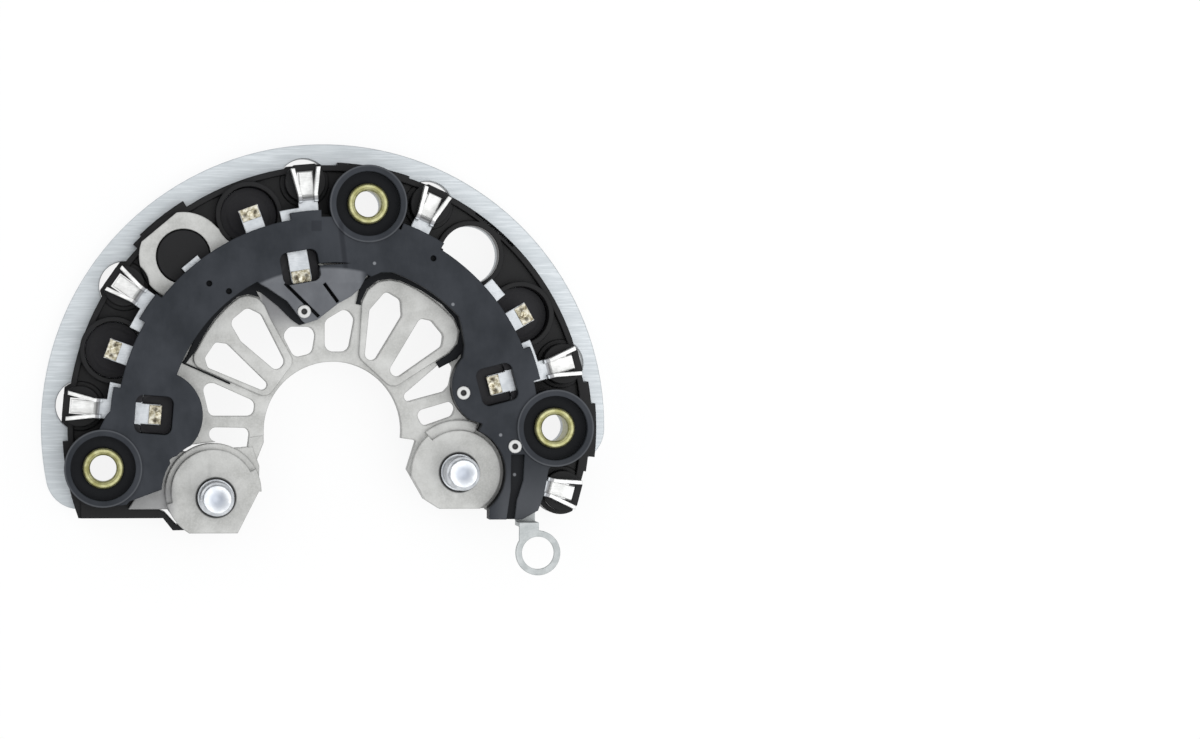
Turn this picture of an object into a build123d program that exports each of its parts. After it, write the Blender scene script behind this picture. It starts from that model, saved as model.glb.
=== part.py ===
from build123d import *
import math
import os

# Alternator rectifier: two half-ring heat sinks with six pressed-in diodes, an insulator
# between them and a terminal block on top. The origin lies on the alternator's shaft
# axis, in the rear face that is screwed to the end frame, and the terminals face +Z.

# Circles and angles that the whole stack shares, in millimetres and degrees
fixing_radius = 53.5
lead_radius = 58.3
bush_angles = [80, 190, 0]
negative_diode_angles = [30, 110, 160]
lead_angles = [-15, 15, 65, 95, 145, 175]
boss_hole_angle = 50
ring_lug_angle = 130
positive_diodes = [(40.0, 14.5), (35.5, 100.0), (40.0, 175.5)]

# Heights of the layers above the rear face
plate_thickness = 4.0
floor_thickness = 2.8
sink_gap = 5.5
sink_thickness = 3.7
conductor_lift = 1.0
conductor_thickness = 1.2
block_thickness = 5.8
floor_top = plate_thickness + floor_thickness
sink_bottom = plate_thickness + sink_gap
sink_top = sink_bottom + sink_thickness
conductor_bottom = sink_top + conductor_lift
conductor_top = conductor_bottom + conductor_thickness
block_top = sink_top + block_thickness
fit_gap = 0.1

# Negative heat sink
plate_radius = 67.4
plate_inner_radius = 40.3
plate_bevel_width = 3.2
plate_bevel_depth = 3.0
plate_bevel_sweeps = [(11, 61), (100, 118.5), (141.5, 181)]
plate_right_end = -8.6
plate_left_end = -19.5
plate_left_notch = (-38.8, -10.8)
plate_left_foot = -46.0
plate_right_notch = (40.5, -11.5)
plate_right_notch_radius = 9.9
plate_corner_radius = 8.0
screw_hole_radius = 3.9
boss_hole_radius = 7.0
lead_hole_radius = 5.9
blind_disc_radius = 8.5
blind_disc_depth = 0.4
blind_lobe_radius = 12.9

# Positive heat sink
sink_radius = 45.2
sink_sweep = (-8, 187)
sink_centre = (1.3, -0.7)
sink_inner_radius = 16.3
sink_right_limit = 43.5
case_chamfer = 0.3
diode_collar_radius = 9.2
diode_collar_drop = 1.6
diode_collar_step = 0.4
ring_lug_offset = -0.8
ring_lug_radius = 10.4
ring_lug_flat = 8.9
ring_lug_hole_radius = 6.5
lug_root_spread = (17, 11)
left_pad = (-26.9, -14.9)
right_pad = (31.1, -10.5)
left_stud = (-26.3, -16.3)
pad_skirt_radius = 11.3
pad_disc_radius = 9.9
pad_rise = 2.3
pad_ring_rise = 1.1
pad_ring_radii = [11.3, 12.3]
pad_ring_sweeps = [(28, 195), (68, 130)]
pad_face_sweeps = [(195, 388), (130, 300)]
fin_frame_rise = 0.8
fin_frame_limit = 38.5
slot_corner_radii = [1.6, 1.7, 1.1, 1.7, 1.9, 1.9, 1.5, 1.5, 1.1, 1.5]
frame_corner_radius = 2.6
pin_radius = 1.0
pin_head_radius = 1.55
pin_head_thickness = 0.4
pin_bore_radius = 0.6
pin_places = [(31.7, 8.3), (43.9, -4.3)]
tongue_pin_place = (-5.6, 27.4)
tongue_pin_seat = 2.6
pin_slack = 0.5

# Diodes
diode_radius = 6.4
diode_height = 5.0
diode_floor = 1.6
diode_wall = 1.1
diode_recess = 0.3
chip_radius = 3.0
chip_thickness = 0.6
lead_head_radius = 2.4
lead_head_thickness = 0.6
lead_wire_radius = 0.75
lead_tip = 0.7
seal_sink = 0.5
seal_cap = 1.0

# Insulator base
base_radius = 61.8
base_centre = (0.7, 0.4)
base_inner_radius = 41.4
base_bumps = [
    (63.4, 122.3, 134), (62.9, 134, 136.5), (62.9, 71.5, 87.5), (63.8, 5, 12.5), (64.8, -6.4, 5),
    (63.2, -13.5, -6.4), (62.3, 183, 200.5),
]
rim_slot = (61.9, 62.4, 44, 55)
base_left_end = -21.4
base_right_end = -18.2
shelf_outer_radius = 46.6
deck_width = 3.8
deck_sweep = (-12, 193)
rim_width = 1.4
rim_height = 1.8
pocket_wall = 1.2
pocket_clearance = 0.35
pocket_height = 6.6
tube_flat = 4.1
tube_wall = 1.3
tube_bottom = 0.2
tube_neck_radius = 4.8
tube_neck_bottom = 7.6
tube_funnel_top = 8.2
tube_slot_length = 6.2
tube_slot_width = 3.8
tube_slot_shift = -0.6
tube_top = 12.4
post_radius = 7.6
lug_seat_radius = 10.4
lug_plug_gap = 0.3
lug_plug_top = 12.9
inner_strip_sweep = (62, 100)
inner_strip_bottom = 1.2
inner_strip_reach = 42.0
hook_angles = [8.5, 73, 89, 183.5]
hook_inner_radius = 39.0
hook_outer_radius = 40.2
hook_width = 4.6
hook_barb = 2.8
hook_head = 1.1
end_pad_bottom = 2.0
end_pad_radius = 9.1
pad_dimple_radius = 1.6
pad_dimple_depth = 0.6

# Terminal block
block_wall = 1.2
block_shoulder_width = 1.6
block_shoulders = [(-20, -9), (13, 22), (58, 70), (92, 100.2), (142, 150), (169, 181)]
block_sweep = (-20, 200)
block_inner_radius = 39.5
block_inner_centre = (1.7, -0.6)
block_ledge_width = 2.4
block_ledge_gap = 0.3
block_ledge_rise = 0.6
block_ledge_bite = 0.6
block_ledge_sweeps = [(117.5, 156, 25.2), (28, 77, 30.0)]
block_pad_radii = [12.2, 10.7]
block_pad_ease = (12.6, 66, 132)
block_lobe_radii = [9.7, 10.4]
block_tongue_top = 34.2
block_tongue_end = 24.6
block_tongue_end_rise = 1.4
tongue_cut_run_out = 1.0
tongue_slot_width = 0.8
tongue_slot_floor = 0.7
block_inner_ease = 3.0
collar_radius = 9.1
collar_rise = 0.5
collar_recess_radius = 7.6
collar_recess_depth = 3.0
windows = [(41.0, 14.5, 8.8), (38.4, 100.0, 7.6), (41.0, 175.5, 8.8)]
window_width = 9.0
window_corner_radius = 1.8
leg_groove_depth = 1.6
mould_pits = [(-28.0, 33.9), (-23.4, 32.1), (24.6, 39.9)]
mould_pit_radius = 0.7
mould_pit_depth = 1.6

# Phase conductors, their forks, and the sense terminal
bar_inner_radius = 44.0
bar_width = 4.4
shoulder_width = 3.8
phases = [
    {
        "bar": (-17.6, 42.0),
        "leads": lead_angles[:2],
        "shoulders": [(15, 23.5)],
        "end_tab": (39.5, 52.4),
    },
    {
        "bar": (62.4, 132.5),
        "leads": lead_angles[2:4],
        "shoulders": [(95, 102.6)],
        "end_tab": (129.8, 50.8),
    },
    {
        "bar": (142.4, 181.0),
        "leads": lead_angles[4:],
        "shoulders": [(145, 153), (168, 175)],
        "end_tab": None,
    },
]
tab_width = 4.8
tab_overhang = 1.6
notched_tab_overhang = 0.5
stem_width = 4.6
fork_start = 54.2
fork_length = 7.2
fork_height = 3.4
fork_arm_thickness = 0.9
fork_half_width = 3.5
tongue_width = 3.2
tongue_length = 6.3
tongue_drop = 1.4
ring_centre = (48.8, -29.1)
ring_outer_radius = 5.25
ring_hole_radius = 3.8
ring_top = 23.4
strap_thickness = 1.0
strap_width = 4.6
strap_x = 46.7
strap_root = -9.5
strap_bend = -22.0

# Mounting bushes and studs
bush_radius = 4.8
bush_bore_radius = 3.1
bush_relief_radius = 3.9
bush_land = 5.0
bush_sink = 0.7
bush_chamfer = 0.4
stud_radius = 4.0
stud_knurl_radius = 4.3
stud_head_radius = 5.6
stud_head_thickness = 1.8
stud_rise = 10.0
stud_chamfer = 0.8
stud_dimple_radius = 1.2
stud_dimple_depth = 0.8


def polar(radius, angle):
    return (
        radius * math.cos(math.radians(angle)),
        radius * math.sin(math.radians(angle)),
    )


def turned(radius, angle):
    """A place on a circle about the shaft axis, with its X axis pointing outwards."""
    return Location((*polar(radius, angle), 0), (0, 0, angle))


def wedge(first, last):
    """Corner points of a wide wedge from the shaft axis, for cutting rings to length."""
    reach = 3 * plate_radius
    steps = max(2, math.ceil((last - first) / 60) + 1)
    span = (last - first) / (steps - 1)
    return [(0, 0)] + [polar(reach, first + span * n) for n in range(steps)]


def ring_sector(inner, outer, first, last):
    """A flat piece of a ring about the shaft axis, between two angles."""
    with BuildSketch(mode=Mode.PRIVATE) as sector:
        Polygon(*wedge(first, last), align=None)
        Circle(outer, mode=Mode.INTERSECT)
        Circle(inner, mode=Mode.SUBTRACT)
    return sector.sketch


def rounded_outline(points, corner_radius):
    """A flat piece with straight sides and rounded corners."""
    with BuildSketch(mode=Mode.PRIVATE) as outline:
        with BuildLine():
            Polyline(*points, close=True)
        make_face()
        fillet(outline.vertices(), corner_radius)
    return outline.sketch


def widened(points, step):
    """The corners of an outline, each moved away from their middle by the same step."""
    x = sum(p[0] for p in points) / len(points)
    y = sum(p[1] for p in points) / len(points)
    stretches = [1 + step / math.hypot(p[0] - x, p[1] - y) for p in points]
    return [(x + (p[0] - x) * s, y + (p[1] - y) * s) for p, s in zip(points, stretches)]


def radial_plane(angle):
    """An upright plane through the shaft axis: X points outwards and Y points up."""
    return Plane(
        origin=(0, 0, 0),
        x_dir=(*polar(1, angle), 0),
        z_dir=(*polar(1, angle - 90), 0),
    )


bar_outer_radius = bar_inner_radius + bar_width
block_radius = bar_outer_radius + block_wall
block_shoulder_radius = block_radius + block_shoulder_width
lead_places = [turned(lead_radius, a) for a in lead_angles]
bush_places = [turned(fixing_radius, a) for a in bush_angles]
negative_places = [turned(fixing_radius, a) for a in negative_diode_angles]
positive_places = [turned(r, a) for r, a in positive_diodes]
boss_place = turned(fixing_radius, boss_hole_angle)
lug_place = turned(fixing_radius + ring_lug_offset, ring_lug_angle)
block_lobe_places = [positive_places[0], positive_places[2]]
pad_places = [left_pad, right_pad]
stud_places = [left_stud, right_pad]
pocket_radius = diode_radius + pocket_clearance
tube_radius = lead_hole_radius - fit_gap
tongue_pin_top = sink_top + tongue_pin_seat
pins = [(place, block_top) for place in pin_places] + [(tongue_pin_place, tongue_pin_top)]
lug_flanks = [
    tuple((lug_place * Location((0, -ring_lug_radius, 0))).position)[:2],
    polar(sink_radius - fit_gap, ring_lug_angle - lug_root_spread[0]),
    polar(sink_radius - fit_gap, ring_lug_angle + lug_root_spread[1]),
    tuple((lug_place * Location((0, ring_lug_radius, 0))).position)[:2],
]

# Air slots of the positive heat sink: corner points, going round from the left pad
air_slots = [
    [(-28.7, 0.2), (-17.9, 0.0), (-19.4, -5.0), (-27.3, -3.0)],
    [(-29.6, 10.4), (-26.8, 10.6), (-17.0, 6.2), (-17.4, 2.8), (-27.8, 2.8)],
    [(-28.9, 16.5), (-26.4, 20.2), (-23.6, 19.8), (-13.6, 10.0), (-15.2, 8.8), (-28.2, 14.2)],
    [(-23.1, 25.0), (-18.9, 28.4), (-15.6, 26.8), (-9.8, 15.4), (-11.9, 13.2), (-20.4, 20.4)],
    [(-10.6, 21.9), (-8.9, 23.9), (-3.5, 23.8), (-2.8, 21.9), (-3.5, 17.6), (-7.8, 16.5)],
    [(-0.6, 25.3), (4.5, 28.4), (6.5, 25.9), (5.0, 18.0), (-0.6, 18.0)],
    [(9.9, 27.8), (13.9, 32.4), (17.4, 30.3), (17.7, 26.4), (11.4, 16.0), (8.7, 15.9)],
    [(14.0, 12.7), (21.9, 25.9), (24.8, 25.3), (27.6, 21.9), (27.2, 19.2), (16.9, 12.0)],
    [(17.5, 5.7), (18.4, 8.1), (28.2, 16.5), (29.9, 14.3), (29.0, 9.9), (27.7, 8.5)],
    [(20.8, 3.8), (29.3, 6.3), (30.5, 4.7), (29.7, 2.7), (22.6, 0.2)],
]

# Raised frames around the two middle pairs of slots
fin_frames = [
    [
        (-33.0, 15.4), (-30.7, 18.4), (-28.8, 21.9), (-26.5, 25.3), (-24.1, 27.9), (-21.1, 30.6),
        (-18.8, 31.2), (-16.4, 30.6), (-14.9, 28.9), (-13.4, 25.6), (-7.8, 15.6), (-14.2, 7.0),
    ],
    [
        (7.4, 16.6), (8.2, 29.8), (9.6, 32.6), (12.1, 34.5), (14.9, 34.9), (17.5, 34.4), (22.1, 32.2),
        (26.8, 29.1), (29.8, 25.9), (31.1, 22.9), (30.6, 20.0), (28.8, 17.8), (15.4, 9.2),
    ],
]

# Outline corners of the stud pads' skirts, of the wing beside the left one, and of the
# insulator's end pieces below them
left_skirt = [
    (-16.2, -14.9), (-21.2, -24.7), (-31.2, -24.7), (-34.9, -22.8), (-37.7, -19.1),
    (-46.8, -19.1), (-43.4, -13.6), (-40.0, -6.0), (-17.6, -4.4), (-16.0, -9.0),
]
right_skirt = [
    (18.4, -1.2), (21.0, -3.2), (18.9, -9.9), (22.9, -16.9), (26.4, -19.1), (35.9, -19.1),
    (38.8, -16.6), (sink_right_limit, -12.0), (sink_right_limit, 3.0), (20.0, 3.0),
]
pad_flats = [
    [(-16.2, -14.9), (-21.2, -24.7), (-60, -24.7), (-60, -60), (0, -60), (0, -14.9)],
    [(18.9, -9.9), (22.9, -16.9), (26.4, -19.1), (60, -19.1), (60, -60), (0, -60), (0, -9.9)],
]
left_base_end = [
    (-37.4, -3.4), (-43.0, 0.0), (-58.0, -10.0), (-58.0, base_left_end),
    (-38.6, base_left_end), (-36.3, -24.3), (-22.0, -24.0), (-18.0, -15.0),
]
right_base_end = [
    (39.6, -1.6), (24.0, -2.6), (21.4, -9.7), (25.4, -17.4), (38.4, -17.6), (38.4, -19.8),
    (43.4, -19.8), (45.4, base_right_end), (56.0, base_right_end), (56.0, -9.0), (46.0, 0.0),
]
left_base_window = [
    (-35.2, -15.6), (-39.7, -15.7), (-41.6, -18.4), (-38.2, -20.0), (-35.5, -22.9), (-33.2, -22.8),
]
right_base_window = [(47.2, -13.0), (44.1, -10.4), (38.4, -10.4), (37.2, -14.6)]

# Outline corners of the block's lower left flank and of its leg
block_left_flank = [
    (-44.0, 12.0), (-52.0, 3.0), (-56.0, -5.0), (-53.0, -18.4), (-47.2, -17.7), (-43.0, -12.6),
    (-38.3, -8.3), (-34.6, -4.9), (-30.6, -1.8), (-30.0, 4.0),
]
block_leg = [
    (33.0, 2.0), (52.0, 6.0), (54.3, -6.9), (51.9, -9.7), (50.8, -15.6), (49.4, -19.4),
    (45.6, -21.5), (37.9, -21.5), (37.9, -17.0), (36.0, -6.0),
]
leg_groove = [
    (43.0, -6.2), (46.2, -6.2), (45.9, -12.3), (44.4, -17.0), (43.9, -21.5), (41.9, -21.5), (42.9, -14.6),
]

# Where the block comes in round the upper and lower corners of the right frame
block_frame_flanks = [
    [(8.9, 36.2), (10.0, 35.6), (12.3, 36.6), (17.0, 36.6), (17.0, 40.5), (8.0, 40.5)],
    [(30.4, 27.2), (31.4, 23.6), (32.0, 19.5), (31.4, 15.0), (37.0, 14.0), (41.0, 20.0), (34.0, 28.0)],
]

# The block's tongue on the hub of the heat sink below, and the slots that part its end
block_tongue = [
    (-17.4, 37.0), (-17.0, 34.4), (-14.4, 33.0), (-9.6, 29.8), (-6.0, 25.2), (-5.2, 24.6), (-2.4, 25.5),
    (2.2, 29.2), (5.4, 31.0), (7.3, 32.8), (9.0, 36.0), (9.0, 39.0),
]
tongue_ledge = [
    (-17.0, 34.4), (-14.4, 33.0), (-9.6, 29.8), (-5.2, 24.6), (-6.6, 24.2), (-8.5, 25.5),
    (-11.6, 28.6), (-15.6, 31.8), (-18.6, 33.0),
]
tongue_slots = [[(-10.3, 34.0), (-2.1, 26.2)], [(-1.1, 34.0), (2.3, 29.6)]]

os.makedirs("parts", exist_ok=True)

# Diodes: a knurled copper cup with the chip soldered to its floor, a nail-head lead
# soldered on the chip, and potting. The potting of the negative diodes covers the rims


def make_diode(name, place, bottom, capped):
    """Writes the four pieces of one press-fit diode that stands on the given height."""
    inner_radius = diode_radius - diode_wall
    chip_bottom = diode_floor
    head_bottom = chip_bottom + chip_thickness
    wire_bottom = head_bottom + lead_head_thickness
    wire_top = conductor_top + lead_tip - bottom

    with BuildPart() as case:
        with BuildSketch(Plane.XY.offset(bottom)):
            with Locations(place):
                Circle(diode_radius)
        extrude(amount=diode_height)
        with BuildSketch(Plane.XY.offset(bottom + diode_floor)):
            with Locations(place):
                Circle(inner_radius)
        extrude(amount=diode_height, mode=Mode.SUBTRACT)
        chamfer(case.edges().group_by(Axis.Z)[0], case_chamfer)

    with BuildPart() as chip:
        with BuildSketch(Plane.XY.offset(bottom + chip_bottom)):
            with Locations(place):
                Circle(chip_radius)
        extrude(amount=chip_thickness)

    with BuildPart() as lead:
        with BuildSketch(Plane.XY.offset(bottom + head_bottom)):
            with Locations(place):
                Circle(lead_head_radius)
        extrude(amount=lead_head_thickness)
        with BuildSketch(Plane.XY.offset(bottom + wire_bottom)):
            with Locations(place):
                Circle(lead_wire_radius)
        extrude(amount=wire_top - wire_bottom)

    with BuildPart() as seal:
        with BuildSketch(Plane.XY.offset(bottom + chip_bottom)):
            with Locations(place):
                Circle(inner_radius)
        extrude(amount=diode_height - diode_floor - (0 if capped else seal_sink))
        if capped:
            with BuildSketch(Plane.XY.offset(bottom + diode_height)):
                with Locations(place):
                    Circle(pocket_radius - fit_gap)
            extrude(amount=seal_cap)
        add(chip.part, mode=Mode.SUBTRACT)
        add(lead.part, mode=Mode.SUBTRACT)

    for piece, kind in [(case, "case"), (chip, "chip"), (lead, "lead"), (seal, "seal")]:
        piece.part.label = f"{name}_{kind}"
        export_step(piece.part, f"parts/{name}_{kind}.step")
    return lead.part


leads = [
    make_diode(f"negative_diode_{n}", place, diode_recess, True)
    for n, place in enumerate(negative_places, 1)
]
leads += [
    make_diode(f"positive_diode_{n}", place, sink_top - diode_height, False)
    for n, place in enumerate(positive_places, 1)
]

# Negative heat sink: a half-ring plate, stamped and coined. Its inner edge is bevelled on
# the rear, and small notches beside that edge take the insulator's hooks.
with BuildPart() as negative_heat_sink:
    with BuildSketch() as plate_outline:
        Circle(plate_radius)
        Circle(plate_inner_radius, mode=Mode.SUBTRACT)
        with Locations(lug_place):
            Circle(blind_lobe_radius)
        with Locations((0, plate_right_end)):
            Rectangle(2 * plate_radius, plate_radius, align=(Align.MIN, Align.MAX), mode=Mode.SUBTRACT)
        with Locations(plate_right_notch):
            Circle(plate_right_notch_radius, mode=Mode.SUBTRACT)
        with BuildLine():
            Polyline(
                plate_left_notch,
                (plate_left_foot, plate_left_end),
                (-2 * plate_radius, plate_left_end),
                (-2 * plate_radius, -2 * plate_radius),
                (0, -2 * plate_radius),
                (0, plate_left_notch[1]),
                close=True,
            )
        make_face(mode=Mode.SUBTRACT)
        corners = plate_outline.vertices()
        right_corner = corners.sort_by_distance((plate_radius, plate_right_end))[0]
        left_corner = corners.sort_by_distance((-plate_radius, plate_left_end))[0]
        fillet([right_corner, left_corner], plate_corner_radius)
    extrude(amount=plate_thickness)
    with BuildSketch():
        with Locations(negative_places):
            Circle(diode_radius)
        with Locations(bush_places):
            Circle(screw_hole_radius)
        with Locations(lead_places[1:]):
            Circle(lead_hole_radius)
        with Locations(boss_place):
            Circle(boss_hole_radius)
    extrude(amount=plate_thickness, mode=Mode.SUBTRACT)
    with BuildSketch():
        with Locations(lug_place):
            Circle(blind_disc_radius)
    extrude(amount=blind_disc_depth, mode=Mode.SUBTRACT)
    for first, last in plate_bevel_sweeps:
        with BuildSketch(radial_plane(first)):
            with BuildLine():
                Polyline(
                    (plate_inner_radius - fit_gap, 0),
                    (plate_inner_radius + plate_bevel_width, 0),
                    (plate_inner_radius - fit_gap, plate_bevel_depth),
                    close=True,
                )
            make_face()
        revolve(axis=Axis.Z, revolution_arc=last - first, mode=Mode.SUBTRACT)
    for angle in hook_angles:
        with BuildSketch():
            with Locations(turned(plate_inner_radius - fit_gap, angle)):
                Rectangle(
                    hook_barb + 2 * fit_gap,
                    hook_width + 2 * fit_gap,
                    align=(Align.MIN, Align.CENTER),
                )
        extrude(amount=hook_head + fit_gap, mode=Mode.SUBTRACT)
negative_heat_sink.part.label = "negative_heat_sink"
export_step(negative_heat_sink.part, "parts/negative_heat_sink.step")

# Positive heat sink: a cast half ring with air slots, collars for its diodes, a ring lug
# and two raised pads for the studs. Its pins stand through the block and are peened over.
with BuildPart() as positive_heat_sink:
    with BuildSketch(Plane.XY.offset(sink_bottom)) as sink_outline:
        with BuildLine():
            Polyline(*wedge(*sink_sweep), close=True)
        make_face()
        Circle(sink_radius, mode=Mode.INTERSECT)
        with Locations(positive_places):
            Circle(diode_collar_radius)
        with Locations(lug_place):
            Circle(ring_lug_radius)
            with Locations((ring_lug_flat, 0)):
                Rectangle(
                    ring_lug_radius,
                    2 * ring_lug_radius,
                    align=(Align.MIN, Align.CENTER),
                    mode=Mode.SUBTRACT,
                )
        with BuildLine():
            Polyline(*lug_flanks, close=True)
        make_face()
        with BuildLine():
            Polyline(*left_skirt, close=True)
        make_face()
        with BuildLine():
            Polyline(*right_skirt, close=True)
        make_face()
        with Locations(pad_places):
            Circle(pad_skirt_radius)
        with Locations(sink_centre):
            Circle(sink_inner_radius, mode=Mode.SUBTRACT)
        with Locations(lug_place):
            Circle(ring_lug_hole_radius, mode=Mode.SUBTRACT)
        with Locations(negative_places):
            Circle(pocket_radius + pocket_wall + fit_gap, mode=Mode.SUBTRACT)
        with Locations(bush_places):
            Circle(post_radius + fit_gap, mode=Mode.SUBTRACT)
        with Locations(lead_places):
            Circle(tube_radius + fit_gap, mode=Mode.SUBTRACT)
        for slot, corner_radius in zip(air_slots, slot_corner_radii):
            add(rounded_outline(slot, corner_radius), mode=Mode.SUBTRACT)
    extrude(amount=sink_thickness)
    with BuildSketch(Plane.XY.offset(sink_bottom)):
        with Locations(positive_places):
            Circle(diode_collar_radius - diode_collar_step)
    extrude(amount=-diode_collar_drop)
    with BuildSketch(Plane.XY.offset(sink_top)):
        for frame in fin_frames:
            add(rounded_outline(frame, frame_corner_radius))
        with Locations(block_inner_centre):
            Circle(fin_frame_limit, mode=Mode.INTERSECT)
        for slot, corner_radius in zip(air_slots, slot_corner_radii):
            add(rounded_outline(slot, corner_radius), mode=Mode.SUBTRACT)
    extrude(amount=fin_frame_rise)
    for place, radius, sweep in zip(pad_places, pad_ring_radii, pad_ring_sweeps):
        with BuildSketch(Plane.XY.offset(sink_top)):
            with Locations(place):
                add(ring_sector(pad_disc_radius - fit_gap, radius, *sweep))
        extrude(amount=pad_ring_rise)
    with BuildSketch(Plane.XY.offset(sink_top)):
        with Locations(pad_places):
            Circle(pad_disc_radius)
        for place, sweep in zip(pad_places, pad_face_sweeps):
            with Locations(place):
                add(ring_sector(pad_disc_radius - fit_gap, pad_skirt_radius, *sweep))
    extrude(amount=pad_rise)
    for flats in pad_flats:
        with BuildSketch(Plane.XY.offset(sink_bottom)):
            with BuildLine():
                Polyline(*flats, close=True)
            make_face()
        extrude(amount=sink_thickness + pad_rise, mode=Mode.SUBTRACT)
    with BuildSketch(Plane.XY.offset(sink_bottom - diode_collar_drop)):
        with Locations(positive_places):
            Circle(diode_radius)
    extrude(amount=sink_thickness + diode_collar_drop, mode=Mode.SUBTRACT)
    with BuildSketch(Plane.XY.offset(sink_bottom)):
        with Locations(stud_places):
            Circle(stud_knurl_radius)
    extrude(amount=sink_thickness + pad_rise, mode=Mode.SUBTRACT)
    for place, top in pins:
        with BuildSketch(Plane.XY.offset(sink_top)):
            with Locations(place):
                Circle(pin_radius)
        extrude(amount=top - sink_top)
        with BuildSketch(Plane.XY.offset(top)):
            with Locations(place):
                Circle(pin_head_radius)
                Circle(pin_bore_radius, mode=Mode.SUBTRACT)
        extrude(amount=pin_head_thickness)
positive_heat_sink.part.label = "positive_heat_sink"
export_step(positive_heat_sink.part, "parts/positive_heat_sink.step")

# Phase conductors: blanked from tinned sheet and bent. Each has a bar inside the block, a
# tab to a diode of each heat sink and two forks for the stator leads
conductors = []
for number, phase in enumerate(phases):
    with BuildPart() as conductor:
        with BuildSketch(Plane.XY.offset(conductor_bottom)):
            add(ring_sector(bar_inner_radius, bar_outer_radius, *phase["bar"]))
            for shoulder in phase["shoulders"]:
                add(ring_sector(bar_inner_radius, bar_outer_radius + shoulder_width, *shoulder))
            with Locations(negative_places[number]):
                Rectangle(
                    fixing_radius - bar_inner_radius + tab_overhang,
                    tab_width,
                    align=(Align.MAX, Align.CENTER),
                )
            with Locations(turned(fixing_radius, negative_diode_angles[number])):
                Rectangle(2 * tab_overhang, tab_width)
            with Locations(turned(bar_inner_radius + tab_overhang, positive_diodes[number][1])):
                Rectangle(
                    bar_inner_radius - positive_diodes[number][0] + tab_overhang + notched_tab_overhang,
                    tab_width,
                    align=(Align.MAX, Align.CENTER),
                )
            if phase["end_tab"]:
                with Locations(turned(bar_inner_radius, phase["end_tab"][0])):
                    Rectangle(
                        phase["end_tab"][1] - bar_inner_radius,
                        tab_width,
                        align=(Align.MIN, Align.CENTER),
                    )
            for angle in phase["leads"]:
                with Locations(turned(bar_inner_radius, angle)):
                    Rectangle(
                        fork_start - bar_inner_radius,
                        stem_width,
                        align=(Align.MIN, Align.CENTER),
                    )
            with Locations(negative_places[number], positive_places[number]):
                Circle(lead_wire_radius, mode=Mode.SUBTRACT)
            with Locations(pin_places):
                Circle(pin_radius + pin_slack, mode=Mode.SUBTRACT)
        extrude(amount=conductor_thickness)
        for angle in phase["leads"]:
            with BuildSketch(radial_plane(angle)):
                with BuildLine():
                    Polyline(
                        (fork_start - fork_arm_thickness, conductor_bottom),
                        (fork_start - fork_arm_thickness, conductor_top),
                        (fork_start, conductor_top),
                        (fork_start + fork_arm_thickness, conductor_top - tongue_drop),
                        (fork_start + tongue_length, conductor_top - tongue_drop),
                        (fork_start + tongue_length, conductor_bottom - tongue_drop),
                        (fork_start + fork_arm_thickness / 2, conductor_bottom - tongue_drop),
                        close=True,
                    )
                make_face()
            extrude(amount=tongue_width / 2, both=True)
            with BuildSketch(Plane.XY.offset(conductor_bottom)):
                with Locations(turned(fork_start, angle)):
                    for side in (-1, 1):
                        Polygon(
                            (-fork_arm_thickness, side * (stem_width / 2 - fork_arm_thickness)),
                            (-fork_arm_thickness, side * stem_width / 2),
                            (fork_arm_thickness, side * stem_width / 2),
                            (fork_length, side * fork_half_width),
                            (fork_length, side * (fork_half_width - fork_arm_thickness)),
                            (fork_arm_thickness, side * (stem_width / 2 - fork_arm_thickness)),
                            align=None,
                        )
            extrude(amount=fork_height)
    conductor.part.label = f"phase_conductor_{number + 1}"
    export_step(conductor.part, f"parts/phase_conductor_{number + 1}.step")
    conductors.append(conductor.part)

# Sense terminal: a strap welded on the first conductor, bent up beside the block's leg
# and flat again for the ring
with BuildPart() as sense_terminal:
    with BuildSketch(Plane.XY.offset(conductor_top)):
        with Locations((strap_x, strap_root)):
            Rectangle(strap_width, strap_root - strap_bend, align=(Align.CENTER, Align.MAX))
    extrude(amount=strap_thickness)
    with BuildSketch(Plane.XY.offset(conductor_top)):
        with Locations((strap_x, strap_bend)):
            Rectangle(strap_width, strap_thickness, align=(Align.CENTER, Align.MAX))
    extrude(amount=ring_top - conductor_top)
    with BuildSketch(Plane.XY.offset(ring_top)):
        with Locations((strap_x, strap_bend)):
            Rectangle(strap_width, strap_bend - ring_centre[1], align=(Align.CENTER, Align.MAX))
        with Locations(ring_centre):
            Circle(ring_outer_radius)
            Circle(ring_hole_radius, mode=Mode.SUBTRACT)
    extrude(amount=-strap_thickness)
sense_terminal.part.label = "sense_terminal"
export_step(sense_terminal.part, "parts/sense_terminal.step")

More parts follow.
